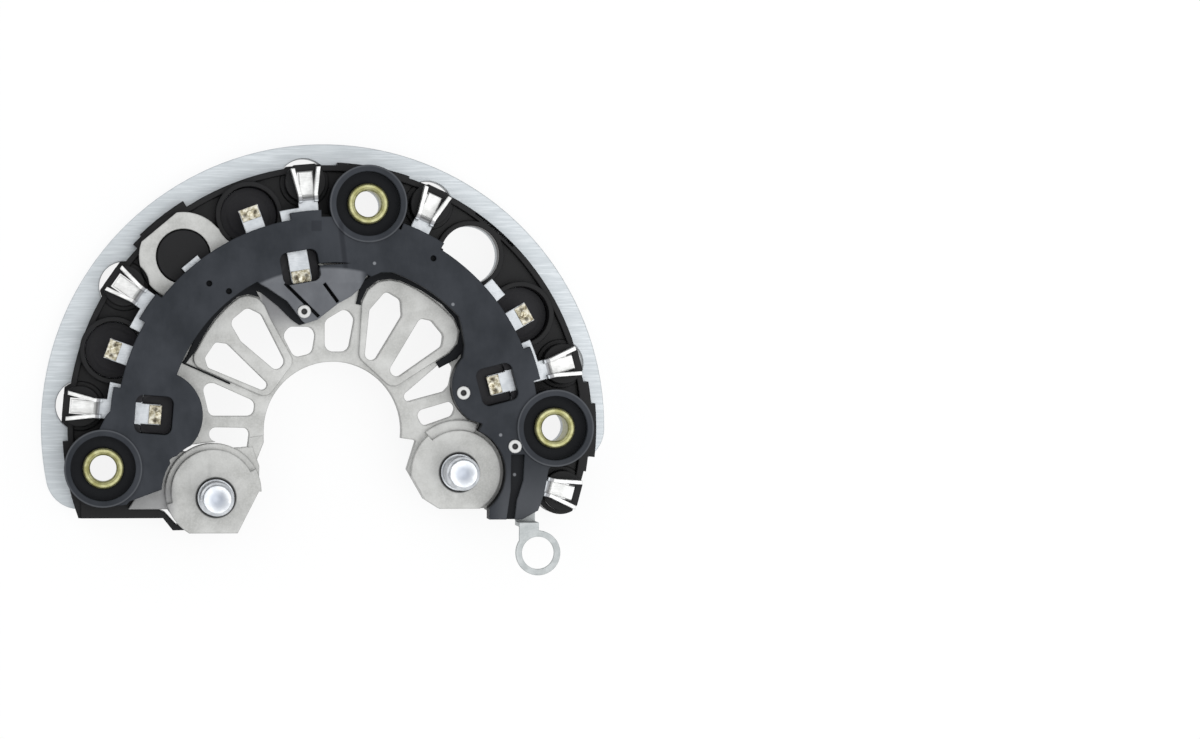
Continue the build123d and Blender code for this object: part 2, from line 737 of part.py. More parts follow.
# Insulator base: one black moulding between the sinks. It has a pocket round each negative
# diode, a D-shaped tube for each stator lead, posts for the bushes, snap hooks that grip
# the plate's inner edge, and end pieces below the stud pads
with BuildPart() as insulator_base:
    with BuildSketch(Plane.XY.offset(plate_thickness)):
        with Locations(base_centre):
            Circle(base_radius)
        for outer, first, last in base_bumps:
            add(ring_sector(base_radius - rim_width, outer, first, last))
        Circle(base_inner_radius, mode=Mode.SUBTRACT)
    extrude(amount=floor_thickness)
    with BuildSketch(Plane.XY.offset(floor_top)):
        with Locations(base_centre):
            Circle(base_radius)
        for outer, first, last in base_bumps:
            add(ring_sector(base_radius - rim_width, outer, first, last))
        with Locations(base_centre):
            Circle(base_radius - rim_width, mode=Mode.SUBTRACT)
    extrude(amount=rim_height)
    with BuildSketch(Plane.XY.offset(floor_top)):
        Circle(shelf_outer_radius)
        Circle(base_inner_radius, mode=Mode.SUBTRACT)
    extrude(amount=sink_bottom - floor_top)
    with BuildSketch(Plane.XY.offset(floor_top)):
        add(ring_sector(shelf_outer_radius, shelf_outer_radius + deck_width, *deck_sweep))
    extrude(amount=sink_top - floor_top)
    with BuildSketch(Plane.XY.offset(plate_thickness)):
        with Locations((0, base_left_end)):
            Rectangle(plate_radius, plate_radius, align=(Align.MAX, Align.MAX))
        with Locations((0, base_right_end)):
            Rectangle(plate_radius, plate_radius, align=(Align.MIN, Align.MAX))
    extrude(amount=sink_top - plate_thickness, mode=Mode.SUBTRACT)
    with BuildSketch(Plane.XY.offset(sink_bottom)):
        with Locations(lug_place):
            Circle(ring_lug_radius + fit_gap)
        Polygon(*lug_flanks, align=None)
    extrude(amount=sink_thickness, mode=Mode.SUBTRACT)
    with BuildSketch(Plane.XY.offset(plate_thickness)):
        Polygon(*left_base_end, align=None)
        Polygon(*right_base_end, align=None)
        with Locations(lug_place):
            Circle(lug_seat_radius)
    extrude(amount=sink_bottom - plate_thickness)
    with BuildSketch(Plane.XY.offset(plate_thickness)):
        with Locations(bush_places):
            Circle(post_radius)
    extrude(amount=sink_top - plate_thickness)
    with BuildSketch(Plane.XY.offset(plate_thickness)):
        with Locations(negative_places):
            Circle(pocket_radius + pocket_wall)
    extrude(amount=pocket_height)
    with BuildSketch(Plane.XY.offset(plate_thickness)):
        with Locations(boss_place):
            Circle(boss_hole_radius + pocket_wall)
    extrude(amount=floor_thickness + rim_height)
    with BuildSketch(Plane.XY.offset(end_pad_bottom)):
        with Locations(pad_places):
            Circle(end_pad_radius)
    extrude(amount=plate_thickness - end_pad_bottom)
    with BuildSketch(Plane.XY.offset(plate_thickness)):
        add(ring_sector(hook_inner_radius, inner_strip_reach, *inner_strip_sweep))
    extrude(amount=floor_thickness)
    with BuildSketch(Plane.XY.offset(inner_strip_bottom)):
        add(ring_sector(hook_inner_radius, hook_outer_radius, *inner_strip_sweep))
    extrude(amount=plate_thickness - inner_strip_bottom)
    for angle in hook_angles:
        with BuildSketch(radial_plane(angle)):
            with BuildLine():
                Polyline(
                    (hook_inner_radius, 0),
                    (hook_outer_radius + hook_barb, 0),
                    (hook_outer_radius + hook_barb, hook_head / 2),
                    (hook_outer_radius, hook_head),
                    (hook_outer_radius, plate_thickness),
                    (inner_strip_reach, plate_thickness),
                    (inner_strip_reach, floor_top),
                    (hook_inner_radius, floor_top),
                    close=True,
                )
            make_face()
        extrude(amount=hook_width / 2, both=True)
    with BuildSketch(Plane.XY.offset(tube_bottom)):
        with Locations(lead_places):
            Circle(tube_radius)
    extrude(amount=tube_neck_bottom - tube_bottom)
    with BuildSketch(Plane.XY.offset(tube_neck_bottom)):
        with Locations(lead_places):
            Circle(tube_neck_radius)
    extrude(amount=tube_top - tube_neck_bottom)
    with BuildSketch(Plane.XY.offset(tube_bottom)):
        with Locations(lead_places):
            with Locations((tube_flat, 0)):
                Rectangle(tube_radius, 2 * tube_radius, align=(Align.MIN, Align.CENTER))
    extrude(amount=tube_top - tube_bottom, mode=Mode.SUBTRACT)
    with BuildSketch():
        with Locations(lead_places):
            Circle(tube_radius - tube_wall)
            with Locations((tube_flat - tube_wall, 0)):
                Rectangle(tube_radius, 2 * tube_radius, align=(Align.MIN, Align.CENTER), mode=Mode.SUBTRACT)
    extrude(amount=tube_funnel_top, mode=Mode.SUBTRACT)
    with BuildSketch():
        with Locations(lead_places):
            with Locations((tube_slot_shift, 0)):
                Rectangle(tube_slot_length, tube_slot_width)
    extrude(amount=sink_top, mode=Mode.SUBTRACT)
    with BuildSketch(Plane.XY.offset(plate_thickness)):
        with Locations(negative_places):
            Circle(pocket_radius)
        with Locations(bush_places):
            Circle(bush_radius)
        with Locations(boss_place):
            Circle(boss_hole_radius)
        Polygon(*left_base_window, align=None)
        Polygon(*right_base_window, align=None)
        add(ring_sector(*rim_slot))
    extrude(amount=sink_top - plate_thickness, mode=Mode.SUBTRACT)
    with BuildSketch(Plane.XY.offset(sink_bottom)):
        with Locations(stud_places):
            Circle(stud_head_radius)
    extrude(amount=-stud_head_thickness, mode=Mode.SUBTRACT)
    with BuildSketch(Plane.XY.offset(end_pad_bottom)):
        with Locations(pad_places):
            Circle(pad_dimple_radius)
    extrude(amount=pad_dimple_depth, mode=Mode.SUBTRACT)
    with BuildSketch(Plane.XY.offset(sink_top)):
        with Locations(positive_places):
            Circle(diode_collar_radius + fit_gap)
    extrude(amount=-sink_thickness - diode_collar_drop - fit_gap, mode=Mode.SUBTRACT)
    with BuildSketch(Plane.XY.offset(sink_bottom)):
        with Locations(lug_place):
            Circle(ring_lug_hole_radius - lug_plug_gap)
    extrude(amount=lug_plug_top - sink_bottom)
insulator_base.part.label = "insulator_base"
export_step(insulator_base.part, "parts/insulator_base.step")

# Terminal block: a dark moulding round the conductors' bars, with a cup for each bush,
# windows over the positive diodes and a leg that carries the sense terminal
with BuildPart() as terminal_block:
    with BuildSketch(Plane.XY.offset(sink_top)):
        add(ring_sector(block_inner_radius - block_inner_ease, block_radius, *block_sweep))
        for first, last in block_shoulders:
            add(ring_sector(bar_outer_radius, block_shoulder_radius, first, last))
        with Locations(block_inner_centre):
            Circle(block_inner_radius, mode=Mode.SUBTRACT)
        for place, radius in zip(block_lobe_places, block_lobe_radii):
            with Locations(place):
                Circle(radius)
        with Locations(bush_places):
            Circle(collar_radius)
        Polygon(*block_left_flank, align=None)
        Polygon(*block_leg, align=None)
        Polygon(*block_tongue, align=None)
        for flank in block_frame_flanks:
            Polygon(*flank, align=None)
        for place, radius in zip(pad_places, block_pad_radii):
            with Locations(place):
                Circle(radius, mode=Mode.SUBTRACT)
        with Locations(right_pad):
            add(ring_sector(fit_gap, *block_pad_ease), mode=Mode.SUBTRACT)
    extrude(amount=block_thickness)
    for frame, (first, last, inner) in zip(fin_frames, block_ledge_sweeps):
        with BuildSketch(Plane.XY.offset(sink_top)):
            Polygon(*widened(frame, block_ledge_width), align=None)
            with Locations(block_inner_centre):
                Circle(block_inner_radius + block_ledge_bite, mode=Mode.INTERSECT)
            add(ring_sector(inner, block_radius, first, last), mode=Mode.INTERSECT)
            Polygon(*widened(frame, block_ledge_gap), align=None, mode=Mode.SUBTRACT)
        extrude(amount=block_ledge_rise)
    with BuildSketch(Plane.XY.offset(sink_top)):
        Polygon(*tongue_ledge, align=None)
    extrude(amount=block_ledge_rise)
    with BuildSketch(Plane.YZ.offset(block_tongue[0][0])):
        with BuildLine():
            Polyline(
                (block_tongue_top, block_top),
                (block_tongue_end, sink_top + block_tongue_end_rise),
                (block_tongue_end - tongue_cut_run_out, sink_top + block_tongue_end_rise),
                (block_tongue_end - tongue_cut_run_out, block_top),
                close=True,
            )
        make_face()
    extrude(amount=block_tongue[-1][0] - block_tongue[0][0], mode=Mode.SUBTRACT)
    with BuildSketch(Plane.XY.offset(sink_top + tongue_slot_floor)):
        for ends in tongue_slots:
            with BuildLine(mode=Mode.PRIVATE) as path:
                Line(*ends)
            trace(path.line, line_width=tongue_slot_width)
    extrude(amount=block_thickness, mode=Mode.SUBTRACT)
    with BuildSketch(Plane.XY.offset(block_top)):
        with Locations(bush_places):
            Circle(collar_radius)
    extrude(amount=collar_rise)
    with BuildSketch(Plane.XY.offset(block_top + collar_rise)):
        with Locations(bush_places):
            Circle(collar_recess_radius)
    extrude(amount=-collar_recess_depth, mode=Mode.SUBTRACT)
    for place, top in pins:
        with BuildSketch(Plane.XY.offset(top)):
            with Locations(place):
                Circle(pin_head_radius + fit_gap)
        extrude(amount=block_thickness, mode=Mode.SUBTRACT)
    with BuildSketch(Plane.XY.offset(sink_top)):
        for radius, angle, length in windows:
            with Locations(turned(radius, angle)):
                RectangleRounded(length, window_width, window_corner_radius)
        with Locations(bush_places):
            Circle(bush_radius)
        with Locations(*pin_places, tongue_pin_place):
            Circle(pin_radius)
    extrude(amount=block_thickness, mode=Mode.SUBTRACT)
    with BuildSketch(Plane.XY.offset(block_top)):
        Polygon(*leg_groove, align=None)
    extrude(amount=-leg_groove_depth, mode=Mode.SUBTRACT)
    with BuildSketch(Plane.XY.offset(block_top)):
        with Locations(mould_pits):
            Circle(mould_pit_radius)
    extrude(amount=-mould_pit_depth, mode=Mode.SUBTRACT)
    for conductor in conductors:
        add(conductor, mode=Mode.SUBTRACT)
    add(sense_terminal.part, mode=Mode.SUBTRACT)
terminal_block.part.label = "terminal_block"
export_step(terminal_block.part, "parts/terminal_block.step")

# Mounting bushes: turned brass sleeves on the plate's screw holes, opened out below
for number, place in enumerate(bush_places, 1):
    bush_top = block_top - bush_sink
    with BuildPart() as bush:
        with BuildSketch(Plane.XY.offset(plate_thickness)):
            with Locations(place):
                Circle(bush_radius)
                Circle(bush_bore_radius, mode=Mode.SUBTRACT)
        extrude(amount=bush_top - plate_thickness)
        chamfer(bush.edges().group_by(Axis.Z)[-1], bush_chamfer)
        with BuildSketch(Plane.XY.offset(plate_thickness)):
            with Locations(place):
                Circle(bush_relief_radius)
        extrude(amount=bush_top - bush_land - plate_thickness, mode=Mode.SUBTRACT)
    bush.part.label = f"mounting_bush_{number}"
    export_step(bush.part, f"parts/mounting_bush_{number}.step")

# Terminal studs: pressed in from the rear until the heads seat on the heat sink
for number, place in enumerate(stud_places, 1):
    with BuildPart() as stud:
        with BuildSketch(Plane.XY.offset(sink_bottom)):
            with Locations(place):
                Circle(stud_head_radius)
        extrude(amount=-stud_head_thickness)
        with BuildSketch(Plane.XY.offset(sink_bottom)):
            with Locations(place):
                Circle(stud_knurl_radius)
        extrude(amount=sink_thickness + pad_rise)
        with BuildSketch(Plane.XY.offset(sink_top + pad_rise)):
            with Locations(place):
                Circle(stud_radius)
        extrude(amount=stud_rise)
        chamfer(stud.edges().group_by(Axis.Z)[-1], stud_chamfer)
        with BuildSketch(Plane.XY.offset(sink_top + pad_rise + stud_rise)):
            with Locations(place):
                Circle(stud_dimple_radius)
        extrude(amount=-stud_dimple_depth, mode=Mode.SUBTRACT)
    stud.part.label = f"terminal_stud_{number}"
    export_step(stud.part, f"parts/terminal_stud_{number}.step")
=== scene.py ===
import math

import bpy
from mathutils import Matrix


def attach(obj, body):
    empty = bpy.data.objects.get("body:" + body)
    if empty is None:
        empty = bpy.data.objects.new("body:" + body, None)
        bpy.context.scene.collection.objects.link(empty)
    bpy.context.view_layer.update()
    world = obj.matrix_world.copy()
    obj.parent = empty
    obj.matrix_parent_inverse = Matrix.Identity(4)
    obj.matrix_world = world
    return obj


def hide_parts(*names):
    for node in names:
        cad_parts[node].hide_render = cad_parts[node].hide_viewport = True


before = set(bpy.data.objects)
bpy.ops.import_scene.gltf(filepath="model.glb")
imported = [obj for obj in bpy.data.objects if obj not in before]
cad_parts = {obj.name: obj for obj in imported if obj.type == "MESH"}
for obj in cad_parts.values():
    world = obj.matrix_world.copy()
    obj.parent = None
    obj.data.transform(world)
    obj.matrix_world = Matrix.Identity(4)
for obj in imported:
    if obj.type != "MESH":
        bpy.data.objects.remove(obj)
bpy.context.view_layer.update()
bpy.ops.object.select_all(action="DESELECT")


# Negative heat sink: a half-ring plate, stamped from aluminium sheet, coined flat on both
# faces and left bare. The end frame's screws press it down, and its edge shows all round
class Shade:
    """One socket among a finish's nodes, so that shader maths reads as a plain sum."""

    def __init__(self, socket):
        self.socket = socket

    def node(self, kind, inputs, output=0, stops=(), **settings):
        made = self.socket.id_data.nodes.new(kind)
        for name, value in settings.items():
            setattr(made, name, value)
        if stops:
            ramp = made.color_ramp.elements
            ramp.remove(ramp[1])
            ramp[0].position, ramp[0].color = stops[0]
            for place, colour in stops[1:]:
                ramp.new(place).color = colour
        for key, value in inputs.items():
            if isinstance(value, Shade):
                self.socket.id_data.links.new(value.socket, made.inputs[key])
            else:
                made.inputs[key].default_value = value
        return Shade(made.outputs[output])

    def sum(self, operation, first, second=0.0):
        return self.node("ShaderNodeMath", {0: first, 1: second}, operation=operation)

    def __add__(self, other):
        return self.sum("ADD", self, other)

    __radd__ = __add__

    def __mul__(self, other):
        return self.sum("MULTIPLY", self, other)

    __rmul__ = __mul__

    def __sub__(self, other):
        return self.sum("SUBTRACT", self, other)

    def __rsub__(self, other):
        return self.sum("SUBTRACT", other, self)

    def part(self, axis):
        """One coordinate of this point, in millimetres."""
        return self.node("ShaderNodeSeparateXYZ", {0: self}, output="XYZ".index(axis)) * 1000.0

    def from_axis(self, x, y):
        """How far this point lies from an upright axis at x and y, in millimetres."""
        level = self.stretched(1000, 1000, 0)
        return level.node(
            "ShaderNodeVectorMath", {0: level, 1: (x, y, 0.0)}, output=1, operation="DISTANCE"
        )

    def step(self, low, high):
        """0 below low and 1 above high, with a soft edge between them."""
        return self.node(
            "ShaderNodeMapRange",
            {"Value": self, "From Min": low, "From Max": high},
            interpolation_type="SMOOTHSTEP",
        )

    def fade(self, low, high):
        """1 below low and 0 above high, with a soft edge between them."""
        return 1.0 - self.step(low, high)

    def noise(self, scale, detail=2.0, roughness=0.5):
        return self.node(
            "ShaderNodeTexNoise",
            {"Vector": self, "Scale": scale, "Detail": detail, "Roughness": roughness},
        )

    def blend(self, first, second):
        """The first colour where this is 0, and the second where it is 1."""
        return self.node(
            "ShaderNodeMix", {0: self, 6: first, 7: second}, output=2, data_type="RGBA"
        )

    def stretched(self, x, y, z, turn=(0.0, 0.0, 0.0), shift=(0.0, 0.0, 0.0)):
        return self.node(
            "ShaderNodeMapping",
            {"Vector": self, "Scale": (x, y, z), "Rotation": turn, "Location": shift},
        )

    def relief(self, depth, edge):
        """This height as a bump of that depth, on edges rounded by that radius."""
        rounded = self.node("ShaderNodeBevel", {"Radius": edge}, samples=6)
        return self.node(
            "ShaderNodeBump",
            {"Height": self, "Distance": depth, "Strength": 1.0, "Normal": rounded},
        )


def new_finish(name, metallic, specular=0.5):
    """A blank finish, its shader, and the point of the surface that patterns read."""
    finish = bpy.data.materials.new(name)
    finish.use_nodes = True
    shader = finish.node_tree.nodes["Principled BSDF"]
    shader.inputs["Metallic"].default_value = metallic
    shader.inputs["Specular IOR Level"].default_value = specular
    place = Shade(finish.node_tree.nodes.new("ShaderNodeTexCoord").outputs["Object"])
    return finish, shader, place


def coat(shader, colour, roughness, normal):
    """Joins what changes over the surface to the shader."""
    links = shader.id_data.links
    links.new(colour.socket, shader.inputs["Base Color"])
    links.new(roughness.socket, shader.inputs["Roughness"])
    links.new(normal.socket, shader.inputs["Normal"])


def dress(finish, slot, *names):
    """Gives a finish to CAD pieces whose shape is kept."""
    for name in names:
        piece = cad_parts[name]
        for held in piece.material_slots:
            held.material = finish


rolled_aluminium, shader, place = new_finish("rolled_aluminium", 0.8)
grain = place.stretched(160, 2600, 900, turn=(0, 0, 0.1)).noise(1.0, 3.0)
mottle = place.noise(75, 5.0, 0.62)
pits = place.noise(2600, 2.0)
tint = mottle.step(0.3, 0.72).blend((0.43, 0.46, 0.48, 1), (0.60, 0.63, 0.65, 1))
streaked = grain.step(0.35, 0.75).blend((0.47, 0.50, 0.52, 1), (0.66, 0.69, 0.71, 1))
coat(
    shader,
    (mottle * 0.7).blend(streaked, tint),
    0.34 + 0.2 * mottle + 0.1 * grain,
    (grain * 0.6 + pits * 0.4).relief(0.00002, 0.0004),
)
dress(rolled_aluminium, "plate_aluminium", "negative_heat_sink")

# Diodes: knurled copper cups, nickel plated and turned on their closed end, pressed into
# both heat sinks. The potting is poured dark resin, and the chips below it are silicon
nickel_cup, shader, place = new_finish("nickel_cup", 0.9)
negative_axes = [(53.5, 30), (53.5, 110), (53.5, 160)]
positive_axes = [(40.0, 14.5), (35.5, 100.0), (40.0, 175.5)]


def spot(radius, angle):
    """A place in the plane, in millimetres, from its radius and angle about the shaft."""
    return radius * math.cos(math.radians(angle)), radius * math.sin(math.radians(angle))


def nearest(place, axes):
    """The distance to the nearest of some upright axes, in millimetres."""
    found = place.from_axis(*axes[0])
    for axis in axes[1:]:
        found = found.sum("MINIMUM", found, place.from_axis(*axis))
    return found


rings = nearest(place, [spot(*axis) for axis in negative_axes + positive_axes])
turning = rings.sum("SINE", rings * 14.0) * 0.5 + 0.5
stain = place.noise(420, 3.0)
centre_mark = rings.fade(0.25, 0.5)
shoulder = rings.step(4.7, 4.95) * rings.fade(5.15, 5.5)
coat(
    shader,
    (centre_mark * 0.7 + shoulder * 0.4).blend(
        stain.step(0.2, 0.85).blend((0.40, 0.41, 0.39, 1), (0.50, 0.51, 0.48, 1)),
        (0.12, 0.11, 0.10, 1),
    ),
    0.3 + 0.2 * stain,
    (turning * 0.5 + stain * 0.2 - shoulder * 1.5).relief(0.00003, 0.0002),
)
potting_resin, shader, place = new_finish("potting_resin", 0.0, 0.25)
swirl = place.noise(700, 3.0)
meniscus = nearest(place, [spot(*axis) for axis in negative_axes + positive_axes]).step(4.6, 5.6)
coat(
    shader,
    swirl.step(0.3, 0.7).blend((0.004, 0.004, 0.007, 1), (0.012, 0.011, 0.015, 1)),
    0.34 + 0.2 * swirl,
    (meniscus * 0.8 + swirl * 0.2).relief(0.00012, 0.0003),
)
sawn_silicon, shader, place = new_finish("sawn_silicon", 0.5)
saw = place.stretched(300, 6000, 300).noise(1.0)
coat(
    shader,
    saw.blend((0.05, 0.05, 0.07, 1), (0.12, 0.12, 0.15, 1)),
    0.25 + 0.2 * saw,
    saw.relief(0.00001, 0.0001),
)
lead_wire, shader, place = new_finish("lead_wire", 0.9)
drawn = place.stretched(3000, 3000, 250).noise(1.0)
lead_end = place.part("Z").step(15.2, 15.4)


def scorched(place):
    """The straw and brown that a weld leaves on tinned copper."""
    return place.node(
        "ShaderNodeValToRGB",
        {"Fac": place.noise(900, 4.0, 0.65)},
        stops=[
            (0.34, (0.11, 0.085, 0.05, 1)),
            (0.46, (0.40, 0.36, 0.25, 1)),
            (0.58, (0.70, 0.67, 0.57, 1)),
        ],
    )


coat(
    shader,
    lead_end.blend(
        drawn.blend((0.45, 0.36, 0.24, 1), (0.62, 0.55, 0.42, 1)),
        scorched(place),
    ),
    0.28 + 0.2 * drawn,
    drawn.relief(0.00002, 0.0001),
)
for side in ("negative", "positive"):
    for number in (1, 2, 3):
        dress(nickel_cup, "plated_copper", f"{side}_diode_{number}_case")
        dress(potting_resin, "potting", f"{side}_diode_{number}_seal")
        dress(sawn_silicon, "silicon", f"{side}_diode_{number}_chip")
        dress(lead_wire, "plated_copper", f"{side}_diode_{number}_lead")

# Insulator base: one moulding of glass-filled black nylon, snapped on the plate's inner
# edge. It is glossy where the tool was polished and has faint flow marks
black_nylon, shader, place = new_finish("black_nylon", 0.0, 0.22)
flow = place.stretched(60, 60, 180).noise(1.0, 4.0, 0.6)
fibre = place.noise(1900, 3.0)
coat(
    shader,
    flow.step(0.35, 0.7).blend((0.0015, 0.0015, 0.002, 1), (0.005, 0.005, 0.006, 1)),
    0.24 + 0.24 * flow + 0.08 * fibre,
    (flow * 0.4 + fibre * 0.6).relief(0.00003, 0.0004),
)
dress(black_nylon, "base_plastic", "insulator_base")

# Positive heat sink: die cast in aluminium and blasted, with a fine even grain, paler
# where edges were tumbled. Its pins are peened over the terminal block, and a short neck
# joins the left pad to the end of the ring
blasted_aluminium, shader, place = new_finish("blasted_aluminium", 0.5)
shot = place.noise(2300, 3.0, 0.6)
cast = place.noise(150, 5.0, 0.6)
flowed = place.stretched(420, 90, 300, turn=(0, 0, 0.9)).noise(1.0, 3.0, 0.6)
shade_of_cast = cast.step(0.3, 0.7).blend((0.38, 0.38, 0.365, 1), (0.53, 0.53, 0.515, 1))
tumbled = (shot.step(0.3, 0.8) * 0.45).blend(shade_of_cast, (0.62, 0.62, 0.605, 1))
pin_axes = [(31.7, 8.3), (43.9, -4.3), (-5.6, 27.4)]
stud_axes = [(-26.3, -16.3), (31.1, -10.5)]
to_pin = nearest(place, pin_axes)
to_stud = nearest(place, stud_axes)
peened = to_pin.fade(1.5, 1.7)
# Painted shade: a dark ring round each stud where the gap to the pad lies in shade; the relief also
# sinks it as a groove
stud_groove_and_painted_shade = to_stud.step(4.0, 4.15) * to_stud.fade(4.6, 5.0)
hub = place.from_axis(1.3, -0.7)
# Painted shade: the sink is painted darker on the wing beside the block, on faces below its top,
# and beside the block's tongue
painted_shade_on_wing = place.part("Y").fade(-16.0, -9.0) * place.part("X").fade(-38.0, -35.0)
below_top = place.part("Z").fade(12.6, 13.1)
beside_tongue = (
    place.part("Z").fade(13.25, 13.4)
    * place.part("X").step(-16.5, -15.0)
    * place.part("X").fade(-7.5, -4.0)
    * place.part("Y").step(20.0, 28.0)
)
bright = peened.blend(
    (flowed.step(0.55, 0.8) * 0.35).blend(tumbled, (0.36, 0.36, 0.35, 1)), (0.58, 0.58, 0.57, 1)
)
# The painted shade is mixed in over the cast colour
painted_shade_on_sink = (painted_shade_on_wing * 0.6 + below_top * 0.25 + beside_tongue * 0.85).blend(
    bright, (0.16, 0.16, 0.17, 1)
)
coat(
    shader,
    # Painted shade: the rings round the studs and the centres of the pins are painted near black
    (stud_groove_and_painted_shade + to_pin.fade(0.6, 0.85)).blend(painted_shade_on_sink, (0.03, 0.03, 0.03, 1)),
    0.46 + 0.16 * shot,
    (shot * 0.6 + cast * 0.25 - stud_groove_and_painted_shade * 1.5 + 0.15 * hub.sum("SINE", hub * 1.6)).relief(
        0.00005, 0.0005
    ),
)
dress(blasted_aluminium, "cast_aluminium", "positive_heat_sink")
neck_outline = [
    (-18.4, -1.3), (-18.9, -4.9), (-18.2, -7.6), (-16.6, -7.6), (-14.95, -3.4), (-15.0, -1.3),
]
neck_bottom = 9.55
neck_top = 13.15
neck_rounding = 0.25
bpy.ops.mesh.primitive_circle_add(
    vertices=len(neck_outline), radius=0.001, fill_type="NGON", location=(0, 0, 0)
)
neck = bpy.context.object
for corner, (x, y) in zip(neck.data.vertices, neck_outline):
    corner.co = (x / 1000, y / 1000, neck_bottom / 1000)
bpy.ops.object.mode_set(mode="EDIT")
bpy.ops.mesh.select_all(action="SELECT")
bpy.ops.mesh.extrude_region_move(
    TRANSFORM_OT_translate={"value": (0, 0, (neck_top - neck_bottom) / 1000)}
)
bpy.ops.mesh.select_all(action="SELECT")
bpy.ops.mesh.normals_make_consistent(inside=False)
bpy.ops.mesh.bevel(offset=neck_rounding / 1000, segments=3, affect="EDGES")
bpy.ops.object.mode_set(mode="OBJECT")
bpy.ops.object.shade_smooth_by_angle(angle=math.radians(40))
neck.name = "sink_neck"
neck.data.materials.append(blasted_aluminium)
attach(neck, "root")

# Terminal block: a matt dark grey moulding over the conductors, with weld lines and the slightly
# cloudy skin of glass-filled resin. Its low faces are painted near black as painted shade, and its
# tongue, leg and collar rims are painted lighter as painted highlights
grey_resin, shader, place = new_finish("grey_resin", 0.0, 0.14)
cloud = place.noise(70, 4.0, 0.6)
speck = place.noise(1500, 3.0, 0.6)
weld_line = place.stretched(90, 35, 60, turn=(0, 0, 0.8)).noise(1.0, 5.0, 0.65)
height = place.part("Z")
bush_axes = [spot(53.5, 80), spot(53.5, 190), spot(53.5, 0)]
to_bush = nearest(place, bush_axes)
# Painted shade: faces below the top of the block are painted near black
painted_shade_low = height.fade(17.2, 18.2)
recess = to_bush.fade(7.4, 7.7) * height.fade(17.9, 18.4)
# Painted highlight: a light ring on the top edge of each collar
rim_painted_highlight = to_bush.step(8.6, 8.9) * to_bush.fade(9.0, 9.2) * height.step(19.2, 19.4)
# Painted sheen: the tongue's slope is painted lighter, standing in for the lamps' reflection on it
on_tongue = (
    place.from_axis(0, 0).fade(37.2, 38.0)
    * place.part("Y").step(20.0, 21.0)
    * place.part("X").step(-18.0, -17.0)
    * place.part("X").fade(7.0, 9.0)
    * height.step(14.1, 14.3)
)
# Painted light: the block's leg is painted lighter, as if more strongly lit
leg = place.part("Y").fade(-20.0, -4.0) * place.part("X").step(38.0, 42.0)
skin = (cloud * 0.6 + weld_line * 0.4).step(0.32, 0.68)
top_skin = skin.blend((0.018, 0.021, 0.026, 1), (0.040, 0.044, 0.052, 1))
from_valley = place.part("X") + place.part("Y") * 0.115 - 8.2
valley = (
    from_valley.sum("ABSOLUTE", from_valley).fade(0.2, 0.9)
    * place.part("Y").step(34.0, 36.0)
    * place.part("Y").fade(47.0, 50.0)
    * height.step(18.4, 18.8)
)
press_mark = (
    place.part("X").step(-4.3, -3.9)
    * place.part("X").fade(-1.9, -1.5)
    * place.part("Y").step(46.0, 46.4)
    * place.part("Y").fade(48.5, 48.9)
)
# Painted light on the leg and painted highlight on the collar rims
lit_skin = (leg * 0.5 + rim_painted_highlight * 0.6).blend(top_skin, (0.105, 0.110, 0.120, 1))
tongue_painted_sheen = skin.blend((0.105, 0.110, 0.122, 1), (0.165, 0.172, 0.186, 1))
# Painted highlights: small light dots where little moulded bumps would catch the light
painted_highlight_dots = nearest(place, [(10.7, 38.7), (29.2, 29.1), (40.5, -1.6), (44.0, -11.0)]).fade(0.25, 0.5)
shaded = painted_shade_low.blend(lit_skin, (0.006, 0.007, 0.009, 1))
marked = (valley * 0.55 + press_mark * 0.4).blend(shaded, (0.009, 0.010, 0.014, 1))
coat(
    shader,
    (painted_highlight_dots * 0.6).blend(
        (on_tongue * (1.0 - recess)).blend(marked, tongue_painted_sheen), (0.30, 0.31, 0.33, 1)
    ),
    0.44 + 0.14 * cloud + 0.08 * speck - 0.1 * on_tongue,
    (speck * 0.6 + weld_line * 0.4 - valley * 2.0).relief(0.00003, 0.0005),
)
dress(grey_resin, "block_plastic", "terminal_block")

# Phase conductors: blanked from copper strip, bent, and dipped in tin. The stems are painted darker
# than the forks' tongues, and a dark line across each stem at the bend is painted shadow over a
# slight crease in the relief
bright_tin, shader, place = new_finish("bright_tin", 0.75)
ripple = place.noise(480, 3.0)
scuff = place.stretched(500, 3800, 500, turn=(0, 0, 0.5)).noise(1.0, 2.0)
from_shaft = place.from_axis(0, 0)
stem = from_shaft.fade(53.8, 54.3)
# Painted shadow: a dark line across each stem where it bends down to the fork
bend_crease_and_painted_shadow = from_shaft.step(53.6, 53.9) * from_shaft.fade(54.5, 54.9)
pressed = (ripple * 0.6 + scuff * 0.4).step(0.3, 0.7)
drawn_tin = pressed.blend((0.54, 0.54, 0.53, 1), (0.80, 0.80, 0.79, 1))
stem_darker_tin = pressed.blend((0.39, 0.41, 0.43, 1), (0.54, 0.56, 0.58, 1))
coat(
    shader,
    (bend_crease_and_painted_shadow * 0.75).blend(stem.blend(drawn_tin, stem_darker_tin), (0.13, 0.13, 0.14, 1)),
    0.26 + 0.2 * scuff,
    (ripple * 0.7 + scuff * 0.3 - bend_crease_and_painted_shadow * 0.8).relief(0.00006, 0.0003),
)
dress(bright_tin, "tinned_strip", "phase_conductor_1", "phase_conductor_2", "phase_conductor_3")

